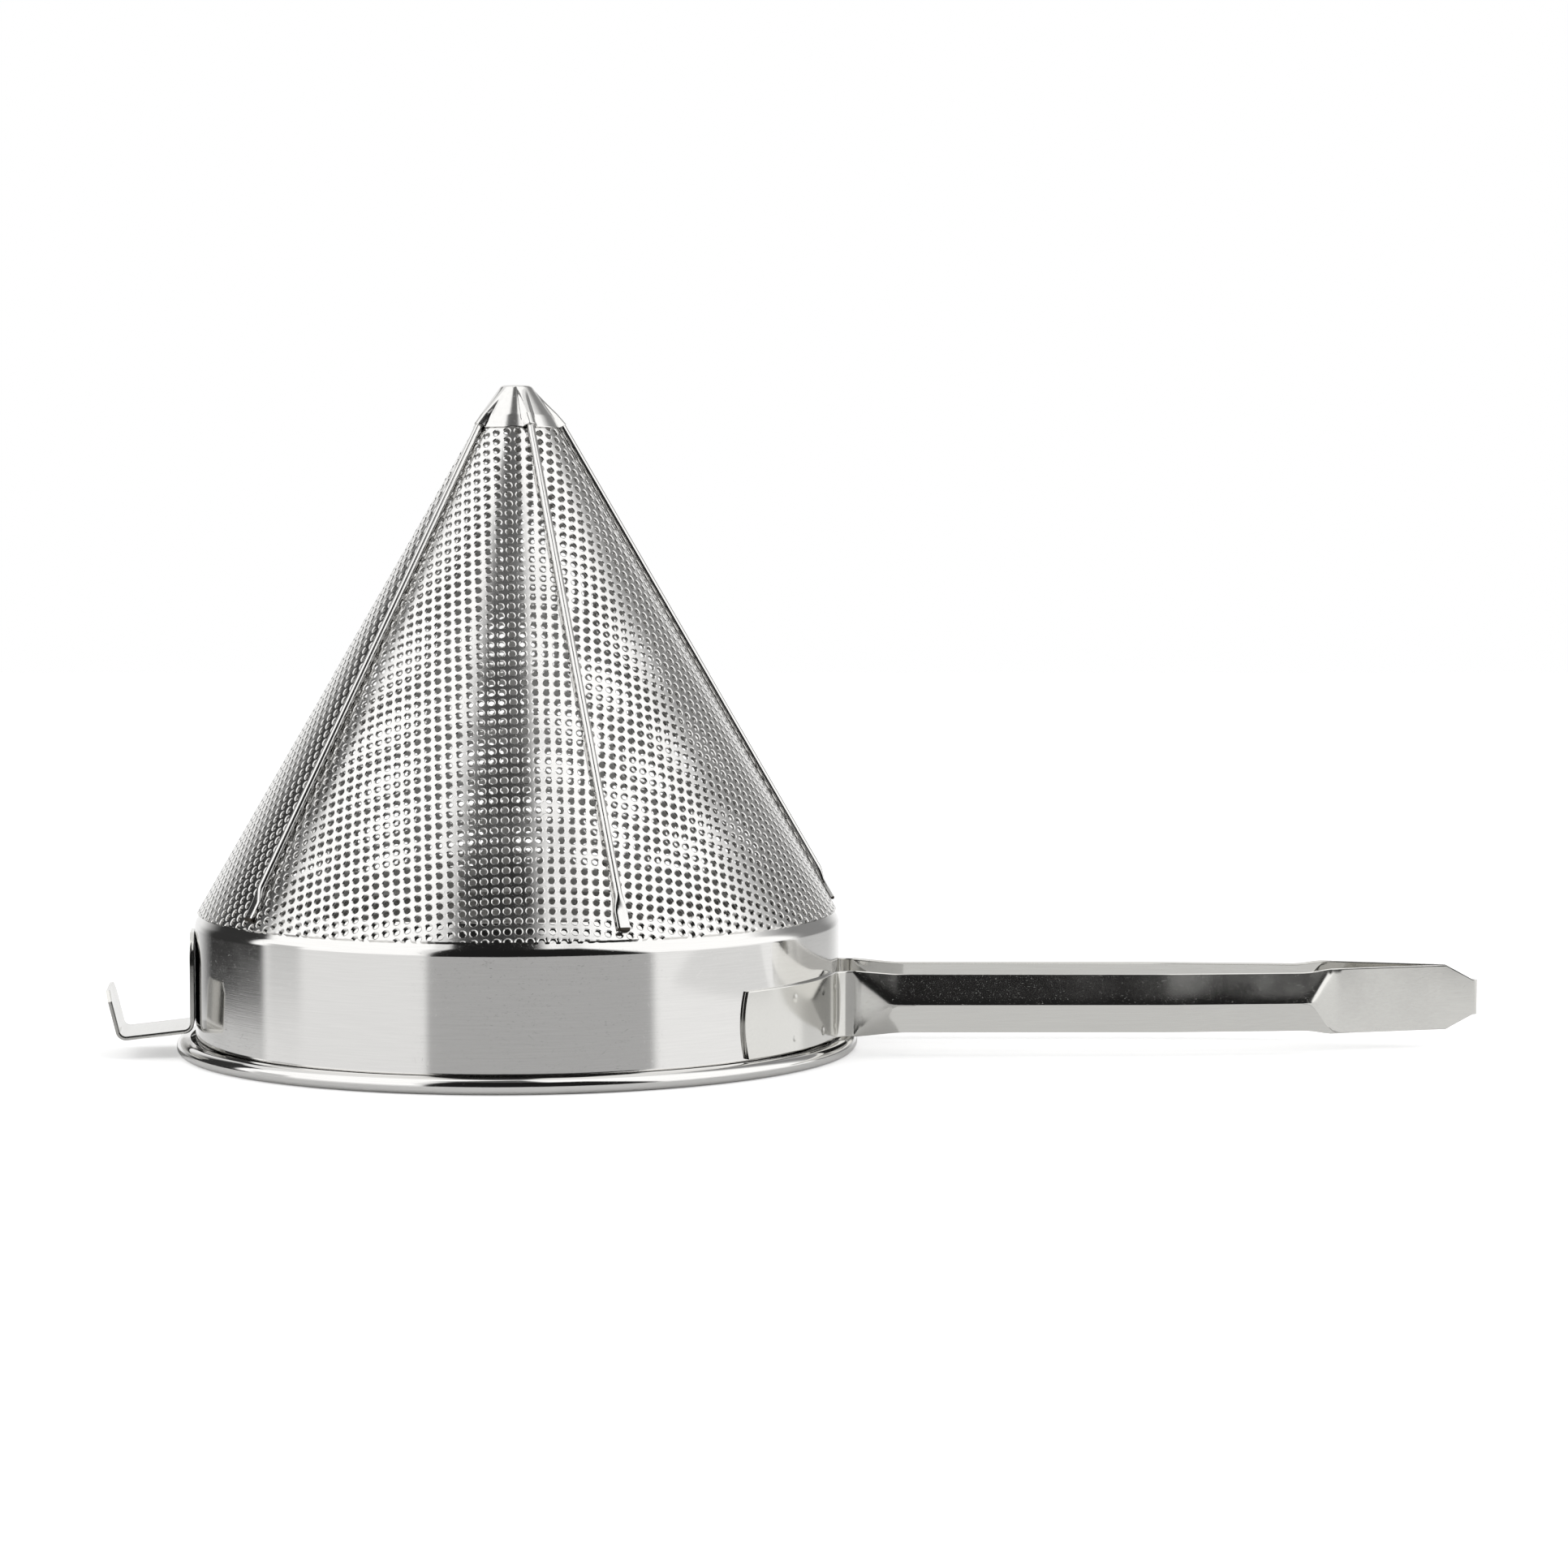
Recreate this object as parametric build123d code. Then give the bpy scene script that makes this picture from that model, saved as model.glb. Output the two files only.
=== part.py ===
from build123d import *
import math
import os

# Conical strainer of punched stainless sheet, standing on its mouth with the tip up.
# The origin is the centre of the mouth, in the plane of the rolled rim's underside.
# +Z points to the tip and +X along the handle. Lengths are millimetres, angles are degrees.

# Body band: conical flange, rounded shoulder, straight wall and rolled rim, all one sheet
band_outer_radius = 124.0
band_sheet = 1.0
cone_half_angle = 30.0
shoulder_height = 50.0
shoulder_bend_radius = 5.0
flange_rise = 10.0
rim_reach = 7.2
rim_height = 6.2
rim_bend_radius = 2.5
rim_edge_gap = 2.0

# Punched cone: its holes lie on a flat square grid that is rolled up with the sheet.
# Each opening of the solid stands for a square of this count of rows and columns of holes.
cone_sheet = 1.0
cone_edge_rise = 3.8
cone_top_radius = 13.5
hole_diameter = 2.5
hole_pitch = 4.0
opening_row_count = 8
grid_azimuth = 276.0
punch_overrun = 1.0

# Support wires on the outside of the cone
wire_count = 5
wire_diameter = 3.0
first_wire_azimuth = 4.0
wire_end_above_edge = 3.0
wire_flat_length = 7.0
wire_taper_length = 7.0
wire_flat_width = 4.8
wire_flat_thickness = 1.5
wire_top_below_cone_top = 0.5

# Tip cap, pressed over the cone's open top and the upper ends of the wires
cap_sheet = 0.6
cap_rise = 11.8
cap_overlap = 4.5
cap_corner_radius = 5.7
cap_corner_bend_radius = 2.0
cap_waist_bend_radius = 6.0
cap_ridge_tip_radius = 1.3
cap_ridge_tip_depth = 1.5
cap_ridge_tip_share = 0.64

# Handle: one strip that wraps the band at both ends and is folded at its far end
strap_width = 25.0
strap_sheet = 1.5
strap_above_rim = 0.7
strap_wrap_angle = 45.0
strap_end_bulge = 1.9
arm_spacing = 41.5
arm_bend_radius = 5.0
crease_depth = 6.0
arm_root_length = 6.0
crease_fade_length = 13.0
grip_straight_length = 104.0
grip_curve_length = 42.0
grip_end_length = 12.0
crease_end_length = 9.0
arm_flat_length = 46.0
fold_taper_length = 10.5
fold_half_gap = 0.3
fold_width = 13.5
grip_straight_share = 0.97
grip_curve_share = 0.80
grip_end_share = 0.735
crease_end_share = 0.68

# Pan hook opposite the handle
hook_azimuth = 187.0
hook_width = 36.0
hook_sheet = 1.5
hook_leg_below_shoulder = 3.0
hook_leg_corner_radius = 12.0
hook_above_rim = 3.4
hook_web_drop = 2.8
hook_reach = 27.2
hook_tongue_rise = 18.2
hook_tongue_lean = 4.4
hook_bend_radius = 3.2
hook_tongue_chamfer = 4.0

# Room left between pieces that are welded or pressed together, and the reach of cutting forms
joint_gap = 0.05
trim_overrun = 2.0
match_tolerance = 0.001

quarter_turn = 90.0
half_turn = 2 * quarter_turn
full_turn = 4 * quarter_turn

sin_cone = math.sin(math.radians(cone_half_angle))
cos_cone = math.cos(math.radians(cone_half_angle))
tan_cone = math.tan(math.radians(cone_half_angle))

# Tip of the flange's outer surface, carried on upwards: every cone here is measured from it
apex_height = shoulder_height + band_outer_radius / tan_cone

# How far each surface that lies on the cone stands off the flange
cone_inside_offset = joint_gap
cone_outside_offset = cone_inside_offset + cone_sheet
wire_seat_offset = cone_outside_offset + joint_gap

# Distances down the cone from the apex to the punched sheet's edges
cone_top_slant = (cone_top_radius - cone_outside_offset * cos_cone) / sin_cone
cone_edge_slant = (
    apex_height + cone_outside_offset * sin_cone - shoulder_height - cone_edge_rise
) / cos_cone

wire_radius = wire_diameter / 2
strap_bottom = rim_height + strap_above_rim
strap_middle = strap_bottom + strap_width / 2


def cone_point(slant, offset):
    """Radius and height of a point down the cone from the apex, lifted off the flange."""
    return (
        slant * sin_cone + offset * cos_cone,
        apex_height - slant * cos_cone + offset * sin_cone,
    )


def cone_plane(azimuth, slant, offset):
    """Plane across a line down the cone: local Z runs to the tip, local Y points outwards."""
    radius, height = cone_point(slant, offset)
    turn = math.radians(azimuth)
    across = (math.cos(turn), math.sin(turn))
    return Plane(
        origin=(radius * across[0], radius * across[1], height),
        x_dir=(across[1], -across[0], 0),
        z_dir=(-sin_cone * across[0], -sin_cone * across[1], cos_cone),
    )


def wire_azimuth(index):
    return first_wire_azimuth + index * full_turn / wire_count


def shifted_corners(points, shift):
    """The corners of a bent line, moved sideways to its left by the shift."""
    steps = [Vector(b) - Vector(a) for a, b in zip(points, points[1:])]
    normals = [Vector(-step.Y, step.X, 0).normalized() for step in steps]
    before = [normals[0]] + normals
    after = normals + [normals[-1]]
    return [
        Vector(point) + (first + second) * (shift / (1 + first.dot(second)))
        for point, first, second in zip(points, before, after)
    ]


def bent_sheet(points, bend_radii, thickness):
    """Face of a bent sheet, from the corners of its middle line and its middle bend radii."""
    vectors = [Vector(point) for point in points]
    steps = [b - a for a, b in zip(vectors, vectors[1:])]
    turns = [math.copysign(1, a.X * b.Y - a.Y * b.X) for a, b in zip(steps, steps[1:])]
    outline = []
    ends = []
    for shift in (thickness / 2, -thickness / 2):
        corners = shifted_corners(points, shift)
        radii = [radius - turn * shift for radius, turn in zip(bend_radii, turns)]
        outline += FilletPolyline(*corners, radius=radii).edges()
        ends.append((corners[0], corners[-1]))
    outline += [Line(left, right).edge() for left, right in zip(*ends)]
    return make_face(outline)


def revolved(section):
    """Body of revolution of a section drawn as radius and height."""
    return revolve(Plane.XZ * section, axis=Axis.Z)


def make_body_band():
    half = band_sheet / 2
    middle = band_outer_radius - half
    rim_outside = band_outer_radius + rim_reach - half
    # The flange's middle line lies half a sheet inside the cone from the apex
    flange_slant = (apex_height - half * sin_cone - shoulder_height - flange_rise) / cos_cone
    points = [
        cone_point(flange_slant, -half),
        (middle, apex_height - half / sin_cone - middle / tan_cone),
        (middle, half),
        (rim_outside, half),
        (rim_outside, rim_height - half),
        (band_outer_radius + rim_edge_gap, rim_height - half),
    ]
    radii = [shoulder_bend_radius, rim_bend_radius, rim_bend_radius, rim_bend_radius]
    return revolved(bent_sheet(points, radii, band_sheet))


def opening_places(radius):
    """Slant distance and azimuth of each opening, between the cap and the wires' flat ends."""
    step = hole_pitch * opening_row_count
    first = cone_top_slant + cap_overlap + radius
    last = cone_edge_slant - wire_end_above_edge - wire_flat_length - radius
    reach = math.ceil(last / step)
    places = []
    # Laid flat, the sheet is half a disc: rows count down from its straight side, the seam
    for row in range(reach):
        down = (row + 1 / 2) * step
        for column in range(-reach, reach + 1):
            along = column * step
            slant = math.hypot(down, along)
            if first < slant < last:
                flat_turn = math.degrees(math.atan2(along, down))
                places.append((slant, grid_azimuth + flat_turn / sin_cone))
    return places


def make_perforated_cone():
    corners = [
        cone_point(cone_top_slant, cone_inside_offset),
        cone_point(cone_top_slant, cone_outside_offset),
        cone_point(cone_edge_slant, cone_outside_offset),
        cone_point(cone_edge_slant, cone_inside_offset),
    ]
    shell = revolved(make_face(Polyline(*corners, close=True)))
    radius = opening_row_count * hole_diameter / 2
    punches = []
    # The sheet curves away inwards, so a punch reaches in by its own radius
    for slant, azimuth in opening_places(radius):
        across = cone_plane(azimuth, slant, cone_inside_offset - radius)
        through = Plane(origin=across.origin, x_dir=across.x_dir, z_dir=across.y_dir)
        length = radius + cone_sheet + punch_overrun
        punches.append(Solid.make_cylinder(radius, length, through))
    return shell - punches


def make_support_wire(azimuth):
    """One wire: a pressed flat end above the cone's edge, a short taper, then round to the cap."""
    end = cone_edge_slant - wire_end_above_edge
    flat_from = end - wire_flat_length
    round_from = flat_from - wire_taper_length
    top = cone_top_slant + wire_top_below_cone_top
    round_section = Pos(0, wire_radius) * Circle(wire_radius)
    flat_section = Pos(0, wire_flat_thickness / 2) * Ellipse(
        wire_flat_width / 2, wire_flat_thickness / 2
    )
    across_end = cone_plane(azimuth, end, wire_seat_offset)
    across_flat = cone_plane(azimuth, flat_from, wire_seat_offset)
    across_round = cone_plane(azimuth, round_from, wire_seat_offset)
    flat_end = extrude(across_end * flat_section, amount=wire_flat_length)
    taper = loft([across_flat * flat_section, across_round * round_section])
    rod = extrude(across_round * round_section, amount=round_from - top)
    return flat_end + taper + rod


def cap_ridge(azimuth, waist, corner, shrink):
    """Filled form of one ridge: a rod over the wire's end, then a horn that dies into the cap."""
    radius = wire_radius + joint_gap + cap_sheet - shrink
    centre_offset = wire_seat_offset + wire_radius
    low = cone_plane(azimuth, cone_top_slant + cap_overlap + trim_overrun, centre_offset)
    bend = cone_plane(azimuth, cone_top_slant, centre_offset)
    side = corner - waist
    inwards = Vector(-side.Y, side.X, 0).normalized()
    tip = waist + side * cap_ridge_tip_share + inwards * cap_ridge_tip_depth
    turn = math.radians(azimuth)
    tip_centre = Vector(tip.X * math.cos(turn), tip.X * math.sin(turn), tip.Y)
    tip_plane = Plane(
        origin=tip_centre, x_dir=bend.x_dir, z_dir=(tip_centre - bend.origin).normalized()
    )
    circles = [
        low * Circle(radius),
        bend * Circle(radius),
        tip_plane * Circle(cap_ridge_tip_radius - shrink / 2),
    ]
    return loft(circles, ruled=True)


def cap_form(shrink):
    """Filled form of the cap's outside, or of its inside when shrunk by the sheet's thickness."""
    low = cone_top_slant + cap_overlap + trim_overrun
    skin = cone_outside_offset + joint_gap + cap_sheet
    cone_top_height = cone_point(cone_top_slant, cone_outside_offset)[1]
    profile = [
        (0, cone_top_height + cap_rise),
        (cap_corner_radius, cone_top_height + cap_rise),
        cone_point(cone_top_slant, skin),
        cone_point(low, skin),
    ]
    waist = Vector(profile[2])
    corner = Vector(profile[1])
    inside = shifted_corners(profile, -shrink)
    radii = [cap_corner_bend_radius - shrink, cap_waist_bend_radius + shrink]
    bottom_centre = Vector(0, inside[-1].Y)
    outline = FilletPolyline(*inside, radius=radii).edges()
    outline.append(Line(inside[-1], bottom_centre).edge())
    outline.append(Line(bottom_centre, inside[0]).edge())
    form = revolved(make_face(outline))
    ridges = [
        cap_ridge(wire_azimuth(index), waist, corner, shrink) for index in range(wire_count)
    ]
    return form + ridges


def make_tip_cap():
    shell = cap_form(0) - cap_form(cap_sheet)
    edge_height = cone_point(cone_top_slant + cap_overlap, cone_outside_offset)[1]
    reach = 2 * band_outer_radius
    below = Box(reach, reach, reach, align=(Align.CENTER, Align.CENTER, Align.MAX))
    return shell - Pos(0, 0, edge_height) * below


def ring_sector(centre, middle_radius, thickness, start, end):
    """Plan face of a bent strip: part of a ring about a centre, from one angle to another."""
    inner = middle_radius - thickness / 2
    outer = middle_radius + thickness / 2
    arcs = [CenterArc(centre, radius, start, end - start) for radius in (inner, outer)]
    ends = [Line(arcs[0] @ place, arcs[1] @ place) for place in (0, 1)]
    return make_face([line.edge() for line in arcs + ends])


def arm_section(reach, middle, crease, width):
    """Section across one arm: a strip whose mid-height stands out sideways by the crease."""
    inner = middle - strap_sheet / 2
    outer = middle + strap_sheet / 2
    low = strap_middle - width / 2
    high = strap_middle + width / 2
    corners = [
        (inner, low),
        (outer, low),
        (outer + crease, strap_middle),
        (outer, high),
        (inner, high),
        (inner + crease, strap_middle),
    ]
    return make_face(Polyline(*[(reach, y, z) for y, z in corners], close=True))


def arm_stations(start):
    """Reach, half spacing, crease depth and width of each section along an arm."""
    spread = arm_spacing / 2
    folded = fold_half_gap + strap_sheet / 2
    creased_width = 2 * math.sqrt((strap_width / 2) ** 2 - crease_depth**2)
    stretches = [
        (0, spread, 0, strap_width),
        (arm_root_length, spread, 0, strap_width),
        (crease_fade_length, spread, crease_depth, creased_width),
        (grip_straight_length, spread * grip_straight_share, crease_depth, creased_width),
        (grip_curve_length, spread * grip_curve_share, crease_depth, creased_width),
        (grip_end_length, spread * grip_end_share, crease_depth, creased_width),
        (crease_end_length, spread * crease_end_share, 0, strap_width),
        (arm_flat_length, folded, 0, strap_width),
        (fold_taper_length, folded, 0, fold_width),
    ]
    reach = start
    stations = []
    for length, middle, crease, width in stretches:
        reach += length
        stations.append((reach, middle, crease, width))
    return stations


def strap_end_waste(wrap_radius):
    """What is cut off the strap's free end, which leaves an arc centred on its middle line."""
    end_radius = ((strap_width / 2) ** 2 + strap_end_bulge**2) / (2 * strap_end_bulge)
    arc_turn = strap_wrap_angle - math.degrees(end_radius / wrap_radius)
    beyond = Box(
        wrap_radius, end_radius, 2 * strap_width, align=(Align.CENTER, Align.MIN, Align.CENTER)
    )
    beyond = Pos(0, end_radius - strap_width, 0) * beyond
    waste = beyond - Rot(0, quarter_turn, 0) * Cylinder(end_radius, wrap_radius)
    return Rot(0, 0, arc_turn) * Pos(wrap_radius, 0, strap_middle) * waste


def make_handle_strap():
    wrap_radius = band_outer_radius + joint_gap + strap_sheet / 2
    bend_y = arm_spacing / 2 + arm_bend_radius
    bend_x = math.sqrt((wrap_radius + arm_bend_radius) ** 2 - bend_y**2)
    bend_turn = math.degrees(math.atan2(bend_y, bend_x))
    wrap = ring_sector((0, 0), wrap_radius, strap_sheet, bend_turn, strap_wrap_angle)
    bend = ring_sector(
        (bend_x, bend_y),
        arm_bend_radius,
        strap_sheet,
        half_turn + bend_turn,
        half_turn + quarter_turn,
    )
    base = Pos(0, 0, strap_bottom)
    stations = arm_stations(bend_x)
    half = base * extrude(wrap, amount=strap_width) - strap_end_waste(wrap_radius)
    half += base * extrude(bend, amount=strap_width)
    half += loft([arm_section(*station) for station in stations], ruled=True)
    fold_reach, fold_radius, _, _ = stations[-1]
    fold = ring_sector((fold_reach, 0), fold_radius, strap_sheet, -quarter_turn, quarter_turn)
    fold_base = Pos(0, 0, strap_middle - fold_width / 2)
    return half + mirror(half, about=Plane.XZ) + fold_base * extrude(fold, amount=fold_width)


def plate_corners(plate, thickness):
    """Edges through a bent plate's thickness, from the innermost to the outermost."""
    through = plate.edges().filter_by(lambda edge: abs(edge.length - thickness) < match_tolerance)
    return through.sort_by(Axis.X)


def make_pan_hook():
    leg = band_outer_radius + joint_gap + hook_sheet / 2
    web_height = rim_height + hook_above_rim + hook_sheet / 2
    far = leg + hook_reach
    points = [
        (leg, shoulder_height - hook_leg_below_shoulder),
        (leg, web_height),
        (far, web_height - hook_web_drop),
        (far + hook_tongue_lean, web_height - hook_web_drop + hook_tongue_rise),
    ]
    section = bent_sheet(points, [hook_bend_radius, hook_bend_radius], hook_sheet)
    hook = extrude(Plane.XZ * section, amount=hook_width / 2, both=True)
    hook = chamfer(plate_corners(hook, hook_sheet)[-2:], hook_tongue_chamfer)
    hook = fillet(plate_corners(hook, hook_sheet)[:2], hook_leg_corner_radius)
    return Rot(0, 0, hook_azimuth) * hook


def make_nodes():
    nodes = {
        "body_band": make_body_band(),
        "perforated_cone": make_perforated_cone(),
        "tip_cap": make_tip_cap(),
        "handle_strap": make_handle_strap(),
        "pan_hook": make_pan_hook(),
    }
    for index in range(wire_count):
        nodes[f"support_wire_{index + 1}"] = make_support_wire(wire_azimuth(index))
    return nodes


os.makedirs("parts", exist_ok=True)
for name, solid in make_nodes().items():
    solid.label = name
    export_step(solid, f"parts/{name}.step")
    print(name, len(solid.solids()), round(solid.volume, 1))
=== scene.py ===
import math

import bpy
import numpy as np
from bpy.props import FloatProperty, FloatVectorProperty, IntProperty, PointerProperty
from mathutils import Matrix, Vector


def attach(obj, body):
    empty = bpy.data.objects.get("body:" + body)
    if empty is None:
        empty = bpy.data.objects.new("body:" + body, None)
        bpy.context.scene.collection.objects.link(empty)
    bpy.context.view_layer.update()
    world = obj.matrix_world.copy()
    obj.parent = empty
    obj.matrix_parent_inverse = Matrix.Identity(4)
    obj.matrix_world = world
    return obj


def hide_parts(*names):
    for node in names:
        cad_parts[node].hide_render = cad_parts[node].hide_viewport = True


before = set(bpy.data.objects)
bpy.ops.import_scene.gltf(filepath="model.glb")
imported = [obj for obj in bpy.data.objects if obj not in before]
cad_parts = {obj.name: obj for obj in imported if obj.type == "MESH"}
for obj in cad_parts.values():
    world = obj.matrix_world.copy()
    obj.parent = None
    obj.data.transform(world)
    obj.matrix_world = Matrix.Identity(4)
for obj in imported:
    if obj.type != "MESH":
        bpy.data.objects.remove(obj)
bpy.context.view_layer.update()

bl_info = {
    "name": "Conical strainer",
    "version": (1, 0, 0),
    "blender": (4, 5, 0),
    "location": "3D View > Sidebar > Strainer",
    "description": "Builds a punched steel conical strainer with wires, cap, handle and hook",
    "category": "Object",
}

# Everything is in metres: X runs along the handle, Z up to the tip, the mouth stands on Z = 0.
MM = 0.001
BODY = "root"
FULL_TURN = math.tau
QUARTER_TURN = math.pi / 2
WELD_DISTANCE = 1e-6
SMOOTH_ANGLE = math.radians(40)
EDGE_ANGLE = math.radians(60)
FLAT_HOLD = 0.3 * MM
PLATE_EDGE_ROUND = 0.25 * MM
BUMP_DISTANCE = 0.02 * MM
# Nearly all of a noise texture lies between these
NOISE_SPAN = (0.3, 0.7)
# How much darker the darkest streaks of grain are, and how soft a scratch's edge is
STREAK_DEPTH = 0.045
SCRATCH_EDGE = 0.06
# How scratches are stretched along X, Y and Z: not at all, and along the handle
EVEN = (1, 1, 1)
LENGTHWAYS = (1.6, 3.2, 3.2)

# Every steel: the colour it takes, its roughness and how far that varies, the stretch and
# strength of its grain, and the stretch, threshold and strength of its scratches
STEELS = {
    # Bright polished stainless sheet: near mirror, with faint rolling lines round the wall
    "bright_polished_stainless": ("steel", 0.08, 0.02, (60, 60, 2400), 0.12, EVEN, 0.66, 0.2),
    # Punched and rolled stainless sheet: bright, with soft smears and a bright lip
    "bright_punched_stainless": ("sheet", 0.16, 0.05, (700, 700, 700), 0.25, EVEN, 0.66, 0.3),
    # Inside the cone and the sheared walls of its holes: dull, as the punch left them, and tinted
    # warmer and a little darker than the outer sheet as painted shade of the cone's dim inside
    "dull_stainless_painted_shade": ("inside", 0.42, 0.06, (900, 900, 900), 0.2, EVEN, 0.66, 0.2),
    # Pressed and polished stainless cap: a near mirror that shows its soft ridges
    "polished_pressed_stainless": ("steel", 0.14, 0.04, (700, 700, 700), 0.15, EVEN, 0.66, 0.4),
    # Bright drawn stainless wire: mirror smooth, with a white line along its middle
    "bright_drawn_wire": ("steel", 0.16, 0.04, (500, 500, 120), 0.1, EVEN, 0.66, 0.3),
    # Torn and scorched wire end: dark, rough and crumbly
    "scorched_torn_wire_end": ("weld", 0.5, 0.15, (1800, 1800, 1800), 1.0, EVEN, 0.66, 1.0),
    # Satin polished stainless strip: streaked along its length, with handling scratches
    "satin_polished_strip": ("strip", 0.13, 0.04, (60, 1800, 1800), 0.08, LENGTHWAYS, 0.7, 0.7),
    # Satin polished stainless plate, as the handle
    "satin_polished_plate": ("strip", 0.15, 0.04, (900, 120, 900), 0.15, EVEN, 0.66, 0.5),
}


def linear(hex_code):
    """An sRGB hex colour as the linear red, green and blue that Blender works in."""
    levels = [int(hex_code[place : place + 2], 16) / 255 for place in (1, 3, 5)]
    return [
        level / 12.92 if level <= 0.04045 else ((level + 0.055) / 1.055) ** 2.4
        for level in levels
    ]


def length(name, description, millimetres):
    kind = {"min": 0, "precision": 5, "unit": "LENGTH", "subtype": "DISTANCE"}
    return FloatProperty(name=name, description=description, default=millimetres * MM, **kind)


def angle(name, description, degrees):
    turn = math.radians(degrees)
    kind = {"unit": "ROTATION", "subtype": "ANGLE"}
    return FloatProperty(name=name, description=description, default=turn, **kind)


def colour(name, description, hex_code):
    kind = {"default": linear(hex_code), "size": 3, "min": 0, "max": 1, "subtype": "COLOR"}
    return FloatVectorProperty(name=name, description=description, **kind)


class BandShape(bpy.types.PropertyGroup):
    outer_radius: length("Band radius", "Outside radius of the straight wall", 124)
    sheet: length("Sheet", "Thickness of the band's sheet", 1)
    half_angle: angle("Cone half angle", "Angle between the cone's side and its axis", 30)
    shoulder_height: length("Shoulder height", "Height where wall and flange would meet", 50)
    shoulder_bend: length("Shoulder bend", "Bend radius of the shoulder", 5)
    flange_rise: length("Flange rise", "Height of the flange above the shoulder", 10)
    rim_reach: length("Rim reach", "How far the rolled rim stands out of the wall", 7.2)
    rim_height: length("Rim height", "Height of the rolled rim", 6.2)
    rim_bend: length("Rim bend", "Bend radius of the rolled rim", 2.5)
    rim_edge_gap: length("Rim edge gap", "Gap between the rim's edge and the wall", 2)
    edge_round: length("Edge round", "Rounding of cut sheet edges", 0.2)
    joint_gap: length("Joint gap", "Room between pieces that are welded together", 0.05)


class ConeShape(bpy.types.PropertyGroup):
    sheet: length("Sheet", "Thickness of the punched sheet", 1)
    edge_rise: length("Edge rise", "Height of the sheet's lower edge above the shoulder", 3.8)
    top_radius: length("Top radius", "Radius of the sheet at its open top", 13.5)
    hole_diameter: length("Hole diameter", "Diameter of each punched hole", 2.5)
    hole_pitch: length("Hole pitch", "Distance between rows and between columns", 4)
    lip_width: length("Lip width", "Width of the sheet drawn in round each hole", 0.34)
    lip_depth: length("Lip depth", "Depth of the sheet drawn in round each hole", 0.24)
    grid_azimuth: angle("Grid azimuth", "Where the columns of holes run straight down", 276)
    weld_height: length("Weld height", "Height of the seam's weld", 0.25)
    weld_width: length("Weld width", "Half width of the seam's weld", 0.8)


class WireShape(bpy.types.PropertyGroup):
    count: IntProperty(name="Wires", description="Number of support wires", default=5, min=1)
    diameter: length("Wire diameter", "Diameter of each support wire", 3)
    first_azimuth: angle("First azimuth", "Azimuth of the first wire", 4)
    end_above_edge: length("End above edge", "Bare sheet below each wire's end", 3)
    flat_length: length("Flat length", "Length of the pressed flat end", 7)
    taper_length: length("Taper length", "Length over which a wire flattens", 7)
    flat_width: length("Flat width", "Width of the pressed flat end", 4.8)
    flat_thickness: length("Flat thickness", "Thickness of the pressed flat end", 1.5)
    burr: length("Burr", "Length of the torn and scorched end", 1.1)
    top_inset: length("Top inset", "Wire's upper end below the sheet's top", 3.2)


class CapShape(bpy.types.PropertyGroup):
    sheet: length("Sheet", "Thickness of the cap", 0.6)
    rise: length("Rise", "Height of the cap above the punched sheet", 11.8)
    overlap: length("Overlap", "How far the cap comes down over the cone", 5.4)
    corner_radius: length("Corner radius", "Radius where top and side would meet", 5.7)
    corner_bend: length("Corner bend", "Bend radius of the top corner", 2)
    waist_bend: length("Waist bend", "Bend radius where the side meets the cone", 6)
    ridge_height: length("Ridge height", "Height of each ridge at the cap's edge", 2.8)
    ridge_half_width: length("Ridge half width", "Half width of a ridge at its foot", 2.9)
    ridge_tip_half_width: length("Ridge tip", "Half width of a ridge where it dies out", 2.0)
    ridge_rise_share: FloatProperty(
        name="Ridge rise share",
        description="Share of the cap's side that a ridge climbs",
        default=0.9,
        min=0,
        max=1,
    )


class StrapShape(bpy.types.PropertyGroup):
    width: length("Strap width", "Width of the handle's strip", 25)
    sheet: length("Sheet", "Thickness of the handle's strip", 1.5)
    above_rim: length("Above rim", "Gap between rolled rim and strap", 0.7)
    wrap_angle: angle("Wrap angle", "Azimuth of the strap's free ends", 45)
    end_bulge: length("End bulge", "How far the free end bulges", 1.9)
    arm_spacing: length("Arm spacing", "Distance between the arms at the band", 41.5)
    root_spread: length("Root spread", "How far each arm starts outside that spacing", 1.5)
    arm_bend: length("Arm bend", "Bend radius from wrap to arm", 8)
    crease_softness: length("Crease softness", "Rounding of the crease", 1.1)
    crease_depth: length("Crease depth", "How far the crease stands out", 6)
    fold_width: length("Fold width", "Width of the folded end", 13.5)
    fold_half_gap: length("Fold half gap", "Half the gap inside the folded end", 0.3)
    weld_radius: length("Weld radius", "Radius of a spot weld's mark", 1.3)
    weld_depth: length("Weld depth", "Depth of a spot weld's mark", 0.16)
    weld_inset: length("Weld inset", "Distance of the welds from the strap's edges", 5)


class HookShape(bpy.types.PropertyGroup):
    azimuth: angle("Azimuth", "Where the hook stands on the band", 187)
    width: length("Width", "Width of the hook's plate", 36)
    sheet: length("Sheet", "Thickness of the hook's plate", 1.5)
    leg_below_shoulder: length("Leg below shoulder", "Drop of the leg's top", 3)
    leg_corner: length("Leg corner", "Corner radius of the leg's top", 12)
    above_rim: length("Above rim", "Gap between rolled rim and web", 3.4)
    web_drop: length("Web drop", "Fall of the web away from the band", 2.8)
    reach: length("Reach", "Length of the web", 27.2)
    tongue_rise: length("Tongue rise", "Height of the tongue", 18.2)
    tongue_lean: length("Tongue lean", "How far the tongue leans out", 4.4)
    bend: length("Bend", "Bend radius of the plate", 3.2)
    chamfer: length("Chamfer", "Cut corners of the tongue", 4)


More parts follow.
